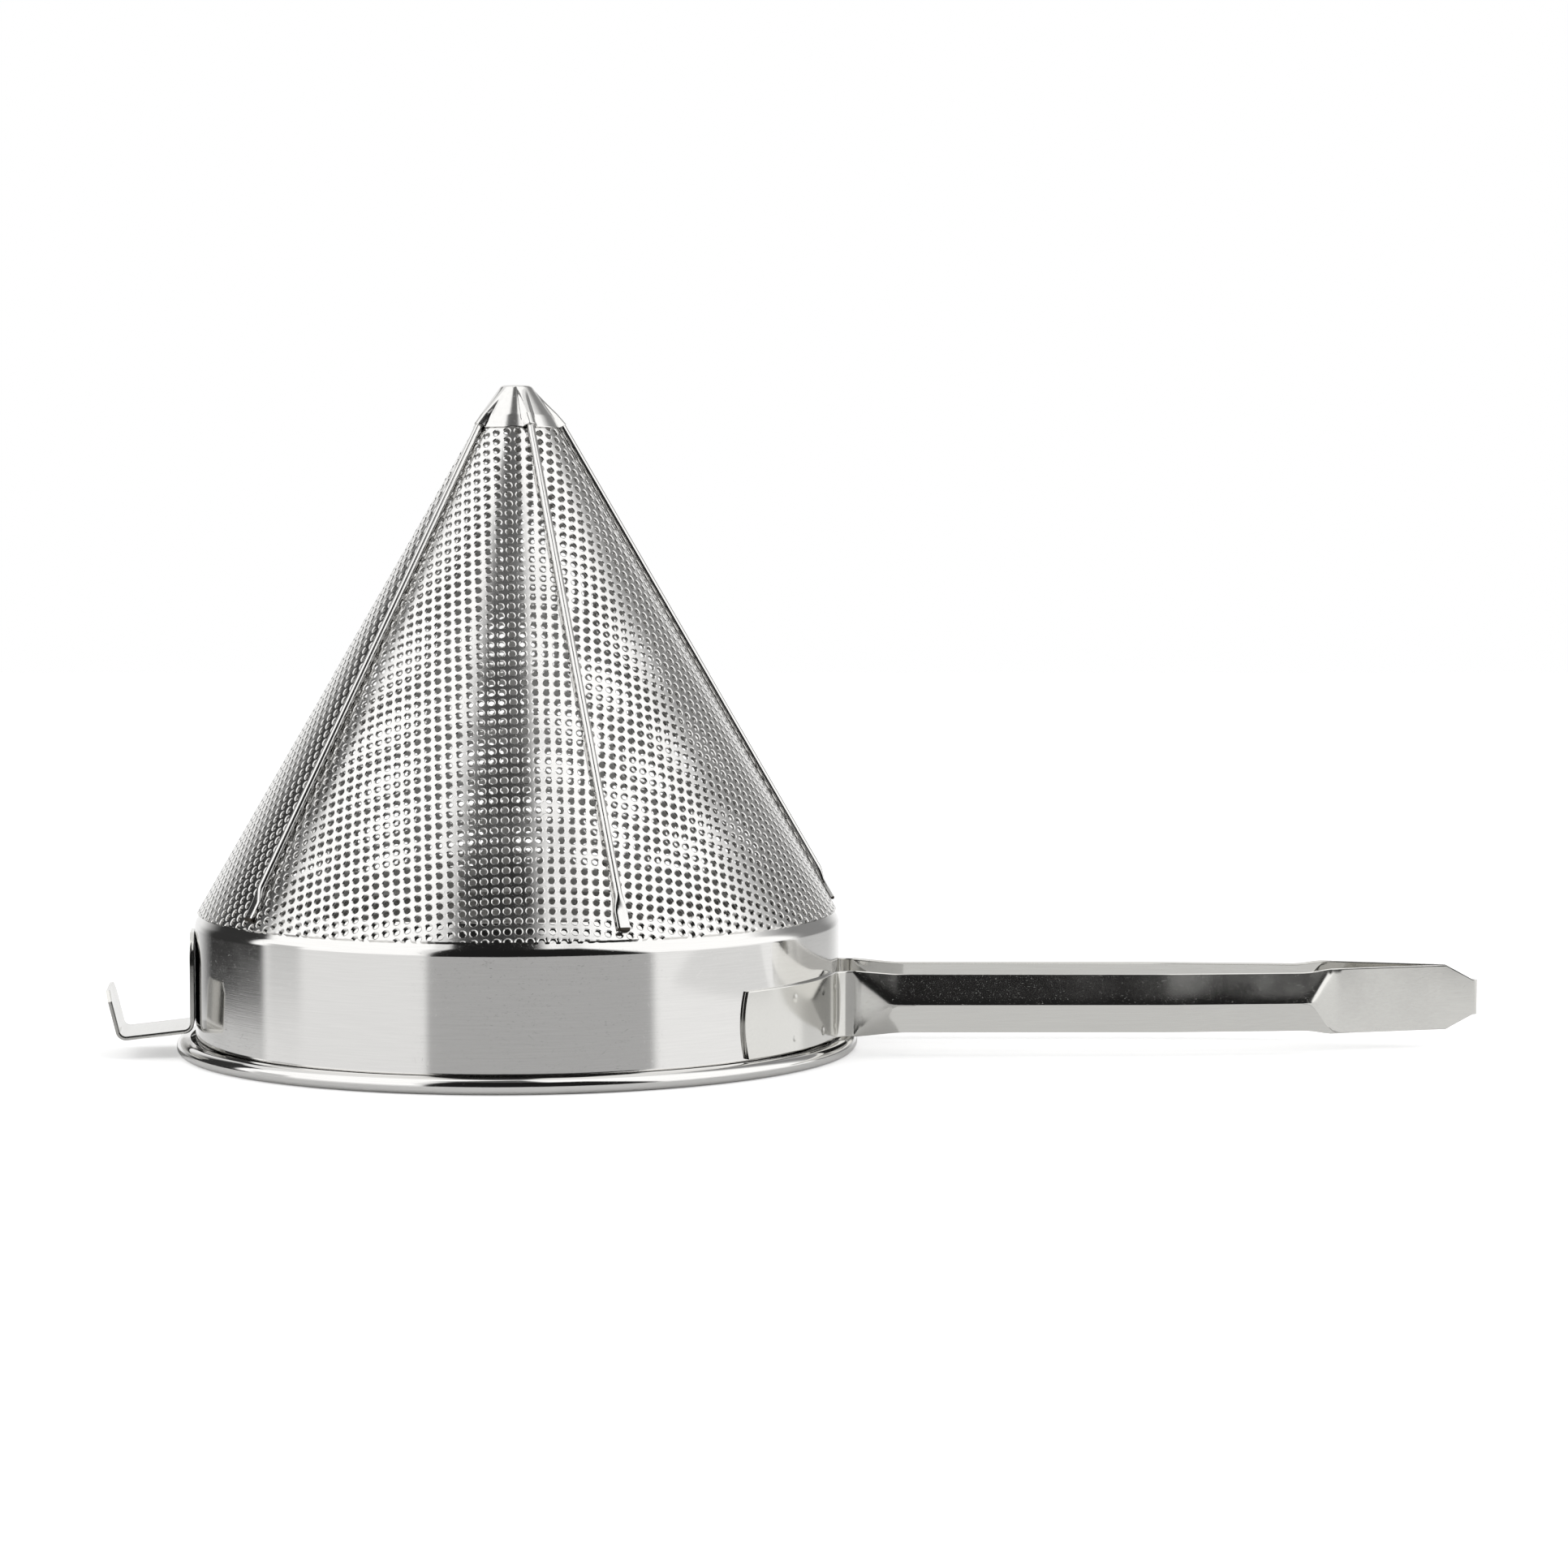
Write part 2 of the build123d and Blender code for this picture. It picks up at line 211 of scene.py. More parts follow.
class Finish(bpy.types.PropertyGroup):
    steel: colour("Polished steel", "Colour of polished stainless steel", "#dedddb")
    sheet: colour("Punched sheet", "Colour of the punched stainless sheet", "#e0dfdd")
    # Painted shade: the inside face is warmer and a little darker than the outer sheet, standing
    # in for the dim light inside the cone
    inside: colour("Inside face", "Colour of the cone's dull inside face", "#dad1c6")
    strip: colour("Satin strip", "Colour of the handle and hook", "#d6d5d1")
    weld: colour("Weld scale", "Colour of the cut and scorched wire ends", "#4b4640")


class StageLook(bpy.types.PropertyGroup):
    floor: colour("Floor", "Colour of the floor", "#f4f4f4")
    glow: colour("Floor glow", "Light added so that the unshaded floor is white", "#acacac")
    shaded_radius: length("Shaded floor", "Radius of the floor that metal mirrors", 150)
    lens: FloatProperty(name="Lens", description="Focal length in mm", default=86.32)


# Along one arm: the distance from the cone's axis in millimetres, the share of the arm spacing
# that it has left there, and whether it is creased there
ARM_STATIONS = (
    (146.2, 1.0, 1),
    (250.2, 0.97, 1),
    (292.2, 0.80, 1),
    (304.2, 0.735, 1),
    (313.2, 0.68, 0),
)
FOLD_FROM = 359.2
FOLD_END = 369.7


class FlangeCone:
    """The flange's outer face carried on up to its tip: all that lies on the cone uses it."""

    def __init__(self, scene):
        band = scene.strainer_band
        cone = scene.strainer_cone
        self.sin = math.sin(band.half_angle)
        self.cos = math.cos(band.half_angle)
        self.apex = band.shoulder_height + band.outer_radius * self.cos / self.sin
        self.inside = band.joint_gap
        self.outside = self.inside + cone.sheet
        self.seat = self.outside + band.joint_gap
        self.top = (cone.top_radius - self.outside * self.cos) / self.sin
        edge_height = band.shoulder_height + cone.edge_rise
        self.edge = (self.apex + self.outside * self.sin - edge_height) / self.cos

    def point(self, slant, offset):
        """Radius and height at a distance down from the tip, lifted off the flange."""
        return (
            slant * self.sin + offset * self.cos,
            self.apex - slant * self.cos + offset * self.sin,
        )

    def outwards(self, azimuth):
        """Directions straight out of the cone's side at many azimuths."""
        flat = [np.cos(azimuth) * self.cos, np.sin(azimuth) * self.cos]
        return np.stack([*flat, np.full_like(azimuth, self.sin)], axis=1)

    def measure(self, places):
        """Distance down from the tip and lift off the flange of many places."""
        radius = np.hypot(places[:, 0], places[:, 1])
        fall = self.apex - places[:, 2]
        return radius * self.sin + fall * self.cos, radius * self.cos - fall * self.sin


def clear_selection():
    bpy.ops.object.select_all(action="DESELECT")


def add_shape(name, operator, **settings):
    """Adds one of Blender's basic meshes, with nothing else selected, and names it."""
    clear_selection()
    operator(**settings)
    piece = bpy.context.object
    piece.name = name
    return piece


def pick(piece):
    """Makes this piece the only one selected."""
    clear_selection()
    piece.select_set(True)
    bpy.context.view_layer.objects.active = piece


def edit_all(piece):
    """Opens a piece in edit mode with all of it selected."""
    pick(piece)
    bpy.ops.object.mode_set(mode="EDIT")
    bpy.ops.mesh.select_all(action="SELECT")


def object_mode():
    bpy.ops.object.mode_set(mode="OBJECT")


def close_up(weld_distance=WELD_DISTANCE):
    """Merges what lies together, turns all faces outwards and leaves edit mode."""
    bpy.ops.mesh.select_all(action="SELECT")
    bpy.ops.mesh.remove_doubles(threshold=weld_distance)
    bpy.ops.mesh.normals_make_consistent(inside=False)
    object_mode()


def places_of(piece):
    places = np.empty(len(piece.data.vertices) * 3)
    piece.data.vertices.foreach_get("co", places)
    return places.reshape(-1, 3)


def reshape(piece, places):
    """Moves every vertex of a piece to its new place."""
    piece.data.vertices.foreach_set("co", np.asarray(places, float).ravel())
    piece.data.update()


def apply_modifier(piece, kind, **settings):
    pick(piece)
    modifier = piece.modifiers.new(kind.title(), kind)
    for name, value in settings.items():
        setattr(modifier, name, value)
    bpy.ops.object.modifier_apply(modifier=modifier.name)


def round_edges(piece, width):
    """Rounds the sharp edges of a piece slightly and shades the rest smooth."""
    limit = {"limit_method": "ANGLE", "angle_limit": EDGE_ANGLE}
    apply_modifier(piece, "BEVEL", width=width, segments=2, **limit)
    smooth(piece)


def thicken(piece, sheet, offset, edge_round):
    """Gives a surface its sheet thickness, with slightly rounded cut edges."""
    apply_modifier(piece, "SOLIDIFY", thickness=sheet, offset=offset, use_even_offset=True)
    round_edges(piece, edge_round)


def smooth(piece, limit=SMOOTH_ANGLE):
    pick(piece)
    bpy.ops.object.shade_smooth_by_angle(angle=limit)


def rounded_path(corners, radii, steps):
    """Points of a flat line whose inner corners are rounded to these radii."""
    corners = [Vector(corner) for corner in corners]
    arcs = [[corners[0]]]
    for before, corner, after, radius in zip(corners, corners[1:], corners[2:], radii):
        arrive = (corner - before).normalized()
        leave = (after - corner).normalized()
        turn = math.atan2(arrive.x * leave.y - arrive.y * leave.x, arrive.dot(leave))
        side = Vector((-arrive.y, arrive.x)) * math.copysign(1, turn)
        start = corner - arrive * radius * math.tan(abs(turn) / 2)
        centre = start + side * radius
        turns = [Matrix.Rotation(turn * step / steps, 2) for step in range(steps + 1)]
        arcs.append([centre + turned @ (start - centre) for turned in turns])
    arcs.append([corners[-1]])
    points = [corners[0]]
    for before, arc in zip(arcs, arcs[1:]):
        run = arc[0] - before[-1]
        # A close pair of points at its ends keeps the shading of each straight run flat
        if run.length > 4 * FLAT_HOLD:
            hold = run.normalized() * FLAT_HOLD
            points += [before[-1] + hold, arc[0] - hold]
        points += arc
    return points


def spin_profile(name, profile, steps):
    """A surface of revolution: a line of radius and height, drawn and spun about Z."""
    piece = add_shape(name, bpy.ops.mesh.primitive_plane_add, size=MM)
    edit_all(piece)
    bpy.ops.mesh.merge(type="CENTER")
    points = [Vector((point[0], 0, point[1])) for point in profile]
    bpy.ops.transform.translate(value=points[0])
    for before, after in zip(points, points[1:]):
        bpy.ops.mesh.extrude_vertices_move(TRANSFORM_OT_translate={"value": after - before})
    bpy.ops.mesh.select_all(action="SELECT")
    bpy.ops.mesh.spin(steps=steps, angle=FULL_TURN, center=(0, 0, 0), axis=(0, 0, 1))
    close_up()
    return piece


def table_of(x, y, z):
    """Rows and columns of places, from coordinates along the rows, the columns or both."""
    return np.stack(np.broadcast_arrays(x, y, z), axis=2)


def grid_sheet(name, table):
    """A sheet laid over a table of places, rows along it and columns across it."""
    rows, columns, _ = table.shape
    cells = {"x_subdivisions": rows - 1, "y_subdivisions": columns - 1}
    piece = add_shape(name, bpy.ops.mesh.primitive_grid_add, size=1, **cells)
    flat = places_of(piece)
    row = np.rint((flat[:, 0] + 0.5) * (rows - 1)).astype(int)
    column = np.rint((flat[:, 1] + 0.5) * (columns - 1)).astype(int)
    reshape(piece, table[row, column])
    return piece


def bisect(piece, point, normal, keep_far):
    """Cuts a piece by a plane and keeps the side that the normal points to, or the other."""
    edit_all(piece)
    bpy.ops.mesh.bisect(
        plane_co=point, plane_no=normal, clear_inner=keep_far, clear_outer=not keep_far
    )
    object_mode()


def copy_piece(piece, name):
    pick(piece)
    bpy.ops.object.duplicate(linked=False)
    copied = bpy.context.object
    copied.name = name
    return copied


def settle(piece, material, slot, *nodes):
    """Finishes a piece: its material, the body it rides on and the solids it stands for."""
    if piece.data.materials:
        piece.data.materials[0] = material
    else:
        piece.data.materials.append(material)
    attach(piece, BODY)
    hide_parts(*nodes)


def add_node(tree, kind, inputs, **settings):
    """Adds a node. Each input is a value, a node's output, or a node for its first output."""
    node = tree.nodes.new(kind)
    for name, value in settings.items():
        setattr(node, name, value)
    for name, value in inputs.items():
        if isinstance(value, bpy.types.Node):
            value = value.outputs[0]
        if isinstance(value, bpy.types.NodeSocket):
            tree.links.new(value, node.inputs[name])
        else:
            node.inputs[name].default_value = value
    return node


def new_material(name):
    """A material, and its emptied node tree."""
    material = bpy.data.materials.new(name)
    material.use_nodes = True
    material.node_tree.nodes.clear()
    return material, material.node_tree


def steel(scene, name):
    """Stainless steel with a directional grain, a few fine scratches and faint smears.

    The eye sees sharp but slightly streaked reflections. The grain is drawn coarser than
    the real few microns, up to half a millimetre across it, so that it shows.
    """
    colour_name, rough, spread, *patterns = STEELS[name]
    grain_stretch, grain_bump, scratch_stretch, scratch_level, scratch_bump = patterns
    material, tree = new_material(name)
    place = add_node(tree, "ShaderNodeTexCoord", {}).outputs["Object"]
    grain_place, scratch_place = (
        add_node(tree, "ShaderNodeMapping", {"Vector": place, "Scale": stretch})
        for stretch in (grain_stretch, scratch_stretch)
    )
    grain, smears, scratches = (
        add_node(tree, "ShaderNodeTexNoise", inputs)
        for inputs in (
            {"Vector": grain_place, "Scale": 1, "Detail": 3, "Roughness": 0.6},
            {"Vector": place, "Scale": 38, "Detail": 4, "Roughness": 0.55},
            {"Vector": scratch_place, "Scale": 260, "Detail": 2, "Distortion": 6},
        )
    )
    names = ("Value", "From Min", "From Max", "To Min", "To Max")
    streaks, roughness, scratch_lines = (
        add_node(tree, "ShaderNodeMapRange", dict(zip(names, values)))
        for values in (
            (grain, *NOISE_SPAN, 1 - STREAK_DEPTH, 1),
            (smears, *NOISE_SPAN, rough - spread, rough + spread),
            (scratches, scratch_level, scratch_level + SCRATCH_EDGE, 0, 1),
        )
    )
    normal = {}
    for height, strength in ((grain, grain_bump), (scratch_lines, scratch_bump)):
        inputs = {"Height": height, "Strength": strength, "Distance": BUMP_DISTANCE, **normal}
        normal = {"Normal": add_node(tree, "ShaderNodeBump", inputs)}
    inputs = {0: getattr(scene.strainer_finish, colour_name), "Scale": streaks}
    streaked = add_node(tree, "ShaderNodeVectorMath", inputs, operation="SCALE")
    inputs = {"Base Color": streaked, "Metallic": 1, "Roughness": roughness, **normal}
    shader = add_node(tree, "ShaderNodeBsdfPrincipled", inputs)
    add_node(tree, "ShaderNodeOutputMaterial", {"Surface": shader})
    return material


class STRAINER_OT_body_band(bpy.types.Operator):
    """Spin the flange, shoulder, wall and rolled rim from one profile"""

    bl_idname = "strainer.body_band"
    bl_label = "Body band"

    bend_steps = 12
    spin_steps = 288

    def execute(self, context):
        scene = context.scene
        band = scene.strainer_band
        cone = FlangeCone(scene)
        half = band.sheet / 2
        middle = band.outer_radius - half
        rim_outside = band.outer_radius + band.rim_reach - half
        flange_height = band.shoulder_height + band.flange_rise
        flange = (cone.apex - half * cone.sin - flange_height) / cone.cos
        corners = [
            cone.point(flange, -half),
            (middle, cone.apex - half / cone.sin - middle * cone.cos / cone.sin),
            (middle, half),
            (rim_outside, half),
            (rim_outside, band.rim_height - half),
            (band.outer_radius + band.rim_edge_gap, band.rim_height - half),
        ]
        radii = [band.shoulder_bend, band.rim_bend, band.rim_bend, band.rim_bend]
        profile = rounded_path(corners, radii, self.bend_steps)
        piece = spin_profile("body_band_sheet", profile, self.spin_steps)
        thicken(piece, band.sheet, 0, band.edge_round)
        settle(piece, steel(scene, "bright_polished_stainless"), "band_steel", "body_band")
        return {"FINISHED"}


class STRAINER_OT_punched_cone(bpy.types.Operator):
    """Punch a flat sheet, roll it up into the cone, trim it and split it at the wires"""

    bl_idname = "strainer.punched_cone"
    bl_label = "Punched cone"

    hole_sides = 12
    # The level cuts leave points up to this far apart
    cut_weld_distance = 10 * WELD_DISTANCE
    # Between the turn from one side of a hole to the next and the lip's slope
    lip_sharpness = math.radians(33)

    def add_cell(self, shape):
        """One square of sheet round a hole: the hole's edge, its lip and the flat sheet."""
        radius = shape.hole_diameter / 2
        ring = {"vertices": self.hole_sides, "radius": radius}
        cell = add_shape("punched_cell", bpy.ops.mesh.primitive_circle_add, **ring)
        cell.data.transform(Matrix.Rotation(FULL_TURN / self.hole_sides / 2, 4, "Z"))
        edit_all(cell)
        widths = [radius, radius + shape.lip_width, shape.hole_pitch / 2]
        for narrow, wide in zip(widths, widths[1:]):
            bpy.ops.mesh.extrude_region_move()
            bpy.ops.transform.resize(value=(wide / narrow, wide / narrow, 1))
        object_mode()
        # The outermost ring becomes the square
        places = places_of(cell)
        reach = np.abs(places[:, :2]).max(axis=1)
        outer = np.hypot(places[:, 0], places[:, 1]) > shape.hole_pitch / 2 - WELD_DISTANCE
        places[outer, :2] *= (shape.hole_pitch / 2 / reach[outer])[:, None]
        reshape(cell, places)
        return cell

    def roll(self, places, shape, cone):
        """Rolls the flat sheet up: X runs along its straight side, Y away from that side."""
        slant = np.hypot(places[:, 0], places[:, 1])
        azimuth = shape.grid_azimuth + np.arctan2(places[:, 0], places[:, 1]) / cone.sin
        radius, height = cone.point(slant, cone.outside + places[:, 2])
        return np.stack([radius * np.cos(azimuth), radius * np.sin(azimuth), height], axis=1)

    def draw_in_lips(self, piece, shape, cone):
        """Presses the outer face down towards the edge of each hole, as a punch leaves it."""
        places = places_of(piece)
        slant, lift = cone.measure(places)
        azimuth = np.arctan2(places[:, 1], places[:, 0]) - shape.grid_azimuth
        azimuth = (azimuth + math.pi) % FULL_TURN - math.pi
        flat = azimuth * cone.sin
        pitch = shape.hole_pitch
        across = slant * np.sin(flat)
        along = slant * np.cos(flat)
        row = np.maximum(np.rint(along / pitch), 1)
        distance = np.hypot(across - np.rint(across / pitch) * pitch, along - row * pitch)
        lip_edge = shape.hole_diameter / 2 + shape.lip_width
        depth = np.clip((lip_edge - distance) / shape.lip_width, 0, 1) * shape.lip_depth
        depth[lift < cone.outside - shape.sheet / 2] = 0
        reshape(piece, places - cone.outwards(azimuth + shape.grid_azimuth) * depth[:, None])

    def execute(self, context):
        scene = context.scene
        shape = scene.strainer_cone
        wires = scene.strainer_wire
        cone = FlangeCone(scene)
        pitch = shape.hole_pitch
        reach = math.ceil(cone.edge / pitch)
        sheet = self.add_cell(shape)
        sheet.data.transform(Matrix.Translation((-reach * pitch, pitch, 0)))
        repeat = {"use_relative_offset": False, "use_constant_offset": True}
        repeat.update(use_merge_vertices=True, merge_threshold=WELD_DISTANCE)
        for count, step in ((2 * reach + 1, (pitch, 0, 0)), (reach, (0, pitch, 0))):
            apply_modifier(sheet, "ARRAY", count=count, constant_offset_displace=step, **repeat)
        # The plain strip between the first row and the seam, with the weld at its end
        edit_all(sheet)
        bpy.ops.mesh.select_all(action="DESELECT")
        object_mode()
        for vertex in sheet.data.vertices:
            vertex.select = vertex.co.y < pitch / 2 + WELD_DISTANCE
        bpy.ops.object.mode_set(mode="EDIT")
        bpy.ops.mesh.select_mode(type="VERT")
        strip_edges = [pitch / 2, shape.weld_width, shape.weld_width / 2, 0]
        for before, after in zip(strip_edges, strip_edges[1:]):
            bpy.ops.mesh.extrude_region_move(
                TRANSFORM_OT_translate={"value": (0, after - before, 0)}
            )
        object_mode()
        places = places_of(sheet)
        weld = np.clip(1 - places[:, 1] / shape.weld_width, 0, 1)
        places[:, 2] += shape.weld_height * np.sqrt(weld)
        # The tip itself has no azimuth, so what lies there moves off it before the roll
        near_tip = np.hypot(places[:, 0], places[:, 1]) < pitch / 4
        places[near_tip, 1] += pitch / 4
        reshape(sheet, self.roll(places, shape, cone))
        for slant, keep_far in ((cone.edge, True), (cone.top, False)):
            height = cone.point(slant, cone.outside)[1]
            bisect(sheet, (0, 0, height), (0, 0, 1), keep_far)
        edit_all(sheet)
        close_up(self.cut_weld_distance)
        punched = steel(scene, "bright_punched_stainless")
        # The inside face and the hole walls: dull steel whose warmer, darker tint is painted
        # shade
        dull_painted_shade = steel(scene, "dull_stainless_painted_shade")
        back = {"offset": -1, "material_offset": 1, "material_offset_rim": 1}
        for index in range(wires.count):
            start = wires.first_azimuth + index * FULL_TURN / wires.count
            end = start + FULL_TURN / wires.count
            sector = copy_piece(sheet, f"punched_sheet_{index + 1}")
            for azimuth, keep_far in ((start, True), (end, False)):
                across = (-math.sin(azimuth), math.cos(azimuth), 0)
                bisect(sector, (0, 0, 0), across, keep_far)
            apply_modifier(sector, "SOLIDIFY", thickness=shape.sheet, **back)
            self.draw_in_lips(sector, shape, cone)
            smooth(sector, self.lip_sharpness)
            settle(sector, punched, "punched_steel", "perforated_cone")
            sector.data.materials.append(dull_painted_shade)
        bpy.data.objects.remove(sheet)
        return {"FINISHED"}


class STRAINER_OT_tip_cap(bpy.types.Operator):
    """Spin the pressed cap and raise a ridge over each wire"""

    bl_idname = "strainer.tip_cap"
    bl_label = "Tip cap"

    profile_step = 0.45 * MM
    bend_steps = 10
    spin_steps = 400
    edge_round = 0.12 * MM
    # How far the profile runs on below the edge, which is cut level afterwards
    spare = 2 * MM
    # Powers that shape a ridge: its growth down the side, its flat top and its soft foot
    ridge_growth = 1.35
    ridge_flatness = 2.6
    ridge_foot = 1.3

    def execute(self, context):
        scene = context.scene
        cap = scene.strainer_cap
        wires = scene.strainer_wire
        cone = FlangeCone(scene)
        skin = cone.seat + cap.sheet
        low = cone.top + cap.overlap + self.spare
        cone_top = cone.point(cone.top, cone.outside)[1]
        waist = Vector(cone.point(cone.top, skin))
        corner = Vector((cap.corner_radius, cone_top + cap.rise))
        corners = [(0, corner.y), corner, waist, cone.point(low, skin)]
        rounded = rounded_path(corners, [cap.corner_bend, cap.waist_bend], self.bend_steps)
        profile = []
        for before, after in zip(rounded, rounded[1:]):
            parts = max(1, math.ceil((after - before).length / self.profile_step))
            profile += [before.lerp(after, part / parts) for part in range(parts)]
        profile.append(rounded[-1])
        piece = spin_profile("tip_cap_shell", profile, self.spin_steps)
        edge_height = cone.point(cone.top + cap.overlap, skin)[1]
        bisect(piece, (0, 0, edge_height), (0, 0, 1), True)
        places = places_of(piece)
        radius = np.hypot(places[:, 0], places[:, 1])
        azimuth = np.arctan2(places[:, 1], places[:, 0])
        # How far down its way from the top to the cap's edge each ridge is at every place
        side = corner - waist
        climb = ((radius - waist.x) * side.x + (places[:, 2] - waist.y) * side.y) / side.length
        slant, _ = cone.measure(places)
        below_waist = np.clip(slant - cone.top, 0, cap.overlap)
        run = cap.ridge_rise_share * side.length
        share = np.clip((run - np.clip(climb, 0, None) + below_waist) / (run + cap.overlap), 0, 1)
        rise = cap.ridge_height * share**self.ridge_growth
        growth = cap.ridge_half_width - cap.ridge_tip_half_width
        half_width = cap.ridge_tip_half_width + share * growth
        lift = np.zeros(len(places))
        for index in range(wires.count):
            turn = azimuth - wires.first_azimuth - index * FULL_TURN / wires.count
            turn = (turn + math.pi) % FULL_TURN - math.pi
            aside = np.abs(radius * np.sin(turn)) / half_width
            bump = np.clip(1 - aside**self.ridge_flatness, 0, 1) ** self.ridge_foot
            lift = np.maximum(lift, rise * np.where(np.abs(turn) < QUARTER_TURN, bump, 0))
        reshape(piece, places + cone.outwards(azimuth) * lift[:, None])
        thicken(piece, cap.sheet, -1, self.edge_round)
        settle(piece, steel(scene, "polished_pressed_stainless"), "cap_steel", "tip_cap")
        return {"FINISHED"}


class STRAINER_OT_support_wires(bpy.types.Operator):
    """Draw one wire with its pressed flat end and copy it round the cone"""

    bl_idname = "strainer.support_wires"
    bl_label = "Support wires"

    sides = 24
    taper_steps = 10
    edge_round = 0.15 * MM
    # The torn end: where its rings lie, as shares of its length, how ragged it is, the turn
    # from one ragged point to the next and how much of its thickness it loses
    torn_rings = (1, 0.7, 0.35, 0)
    raggedness = 0.16 * MM
    ragged_turn = 2.4
    torn_share = 0.12
    # Powers of the outline across a wire: round, and what the press adds to make it square
    round_power = 2
    pressed_power = 4

    def one_wire(self, wires, cone):
        """One wire on the cone's side at azimuth zero, round above and flat at its end."""
        radius = wires.diameter / 2
        end = cone.edge - wires.end_above_edge
        flat_from = end - wires.flat_length
        round_from = flat_from - wires.taper_length
        top = cone.top + wires.top_inset
        stations = [(top, radius, radius), (round_from, radius, radius)]
        for step in range(1, self.taper_steps + 1):
            share = step / self.taper_steps
            eased = share * share * (3 - 2 * share)
            wide = radius + eased * (wires.flat_width / 2 - radius)
            high = radius + eased * (wires.flat_thickness / 2 - radius)
            stations.append((round_from + share * wires.taper_length, wide, high))
        stations += [(end - share * wires.burr, wide, high) for share in self.torn_rings]
        disc = {"vertices": self.sides, "radius": radius, "fill_type": "NGON"}
        disc["location"] = (0, radius, 0)
        wire = add_shape("first_wire", bpy.ops.mesh.primitive_circle_add, **disc)
        bpy.ops.object.transform_apply(location=True)
        edit_all(wire)
        for before, after in zip(stations, stations[1:]):
            bpy.ops.mesh.extrude_region_move(
                TRANSFORM_OT_translate={"value": (0, 0, before[0] - after[0])}
            )
            bpy.ops.transform.resize(
                value=(after[1] / before[1], after[2] / before[2], 1),
                center_override=(0, 0, top - after[0]),
            )
        close_up()
        # The press leaves a flat top with square shoulders, and the shears a ragged end
        slant, half_widths, half_heights = np.array(stations).T
        places = places_of(wire)
        along = top - places[:, 2]
        wide = np.interp(along, slant, half_widths)
        high = np.interp(along, slant, half_heights)
        pressed = (radius - high) / (radius - wires.flat_thickness / 2)
        squareness = self.round_power + self.pressed_power * pressed
        u = np.abs(places[:, 0]) / wide
        v = np.abs(places[:, 1] - high) / high
        outwards = (u**squareness + v**squareness) ** (-1 / squareness)
        torn = np.clip((along - end + wires.burr) / wires.burr, 0, 1)
        ragged = np.sin(np.arange(len(places)) * self.ragged_turn) * torn * self.raggedness
        shrink = outwards * (1 - self.torn_share * torn)
        places[:, 0] = places[:, 0] * shrink
        places[:, 1] = (places[:, 1] - high) * shrink + high
        places[:, 2] += np.abs(ragged)
        reshape(wire, places)
        # From upright on the origin to its seat on the cone
        seat_radius, seat_height = cone.point(top, cone.seat)
        rows = [(0, cone.cos, -cone.sin, seat_radius), (-1, 0, 0, 0)]
        rows += [(0, cone.sin, cone.cos, seat_height), (0, 0, 0, 1)]
        wire.data.transform(Matrix(rows))
        return wire

    def execute(self, context):
        scene = context.scene
        wires = scene.strainer_wire
        cone = FlangeCone(scene)
        first = self.one_wire(wires, cone)
        round_edges(first, self.edge_round)
        drawn = steel(scene, "bright_drawn_wire")
        scorched = steel(scene, "scorched_torn_wire_end")
        first.data.materials.append(drawn)
        first.data.materials.append(scorched)
        torn_from = cone.edge - wires.end_above_edge - wires.burr
        places = places_of(first)
        slant, _ = cone.measure(places)
        for face in first.data.polygons:
            if slant[list(face.vertices)].min() > torn_from - WELD_DISTANCE:
                face.material_index = 1
        for index in range(wires.count):
            wire = copy_piece(first, f"support_wire_rod_{index + 1}")
            azimuth = wires.first_azimuth + index * FULL_TURN / wires.count
            wire.data.transform(Matrix.Rotation(azimuth, 4, "Z"))
            settle(wire, drawn, "wire_steel", f"support_wire_{index + 1}")
        bpy.data.objects.remove(first)
        return {"FINISHED"}


